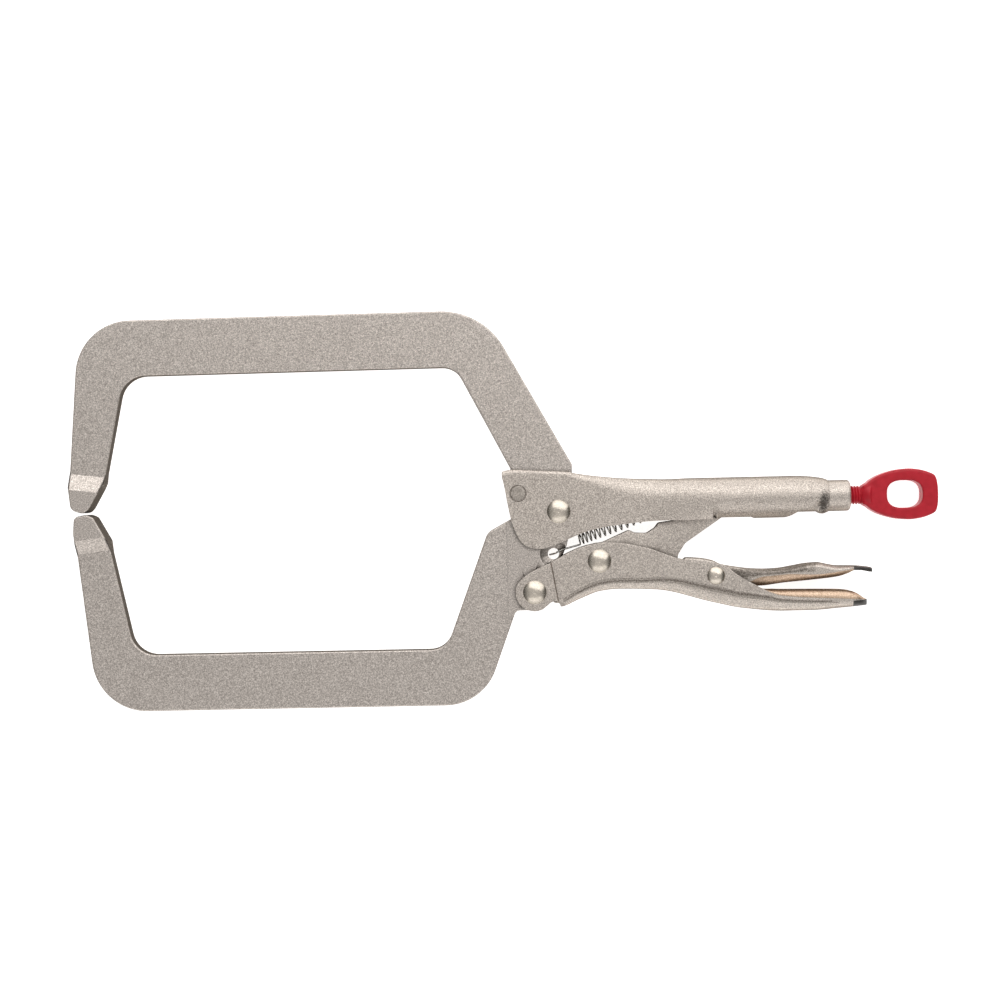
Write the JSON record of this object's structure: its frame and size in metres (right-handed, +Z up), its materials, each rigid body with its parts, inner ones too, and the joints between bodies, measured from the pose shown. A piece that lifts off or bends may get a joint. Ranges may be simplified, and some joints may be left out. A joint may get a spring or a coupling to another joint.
{
  "type": "locking c clamp",
  "caption": "Locking C clamp: two forged arms meet at pointed jaws, with a toggle lever, release lever and an adjusting screw in the fixed handle.",
  "frame": {"origin": "bottom centre of the bounding box, the clamp lying flat on its side", "axes": "+X along the handles towards the adjusting screw, +Y towards the fixed arm, +Z up out of the flat side"},
  "size_m": [0.4554, 0.2066, 0.0218],
  "materials": {
    "arm_steel": "satin nickel on shot-blasted forging",
    "sheet_steel": "satin nickel on pressed sheet",
    "rivet_steel": "polished",
    "dark_steel": "oiled",
    "spring_steel": "bright",
    "red_paint": "gloss"
  },
  "bodies": {
    "fixed_jaw": {"upper_handle": "sheet_steel", "upper_arm": "arm_steel", "arm_fixing_pin": "dark_steel", "threaded_sleeve": "sheet_steel", "jaw_pivot_rivet": "rivet_steel", "jaw_spring": "spring_steel"},
    "moving_jaw": {"lower_arm": "arm_steel"},
    "lever_body": {"lever": "sheet_steel", "lever_rivet": "rivet_steel", "link_rivet": "rivet_steel", "release_rivet": "rivet_steel"},
    "link_body": {"toggle_link": "sheet_steel"},
    "release_body": {"release_lever": "sheet_steel"},
    "screw_carriage": {"screw_point": "dark_steel"},
    "screw_body": {"adjusting_screw": "red_paint", "thumb_key": "red_paint"}
  },
  "joints": [
    {"name": "jaw_pivot", "type": "hinge", "parent": "fixed_jaw", "child": "moving_jaw", "pos_m": [0.02828, -0.00296, 0.0109], "axis": [0, 0, 1], "range_deg": [0, 43.6], "deforming": ["jaw_spring"]},
    {"name": "lever_pivot", "type": "hinge", "parent": "moving_jaw", "child": "lever_body", "pos_m": [0.01488, -0.04496, 0.0109], "axis": [0, 0, 1], "range_deg": [-103.8, 0]},
    {"name": "link_pivot", "type": "hinge", "parent": "lever_body", "child": "link_body", "pos_m": [0.04908, -0.02936, 0.0109], "axis": [0, 0, 1], "range_deg": [0, 100.3]},
    {"name": "release_pivot", "type": "hinge", "parent": "lever_body", "child": "release_body", "pos_m": [0.10988, -0.03836, 0.0109], "axis": [0, 0, 1], "range_deg": [-5, 0]},
    {"name": "screw_slide", "type": "slide", "parent": "fixed_jaw", "child": "screw_carriage", "axis": [1, 0, 0], "range_m": [0, 0.024]},
    {"name": "screw_turn", "type": "hinge", "parent": "screw_carriage", "child": "screw_body", "pos_m": [0.15828, 0.00209, 0.0109], "axis": [1, 0, 0], "range_deg": [0, 5760]}
  ],
  "couplings": [
    {"joint": "lever_pivot", "follows": "jaw_pivot", "ratio": -2.38},
    {"joint": "link_pivot", "follows": "jaw_pivot", "ratio": 2.3},
    {"joint": "screw_slide", "follows": "screw_turn", "m_per_rad": 0.0002387}
  ]
}
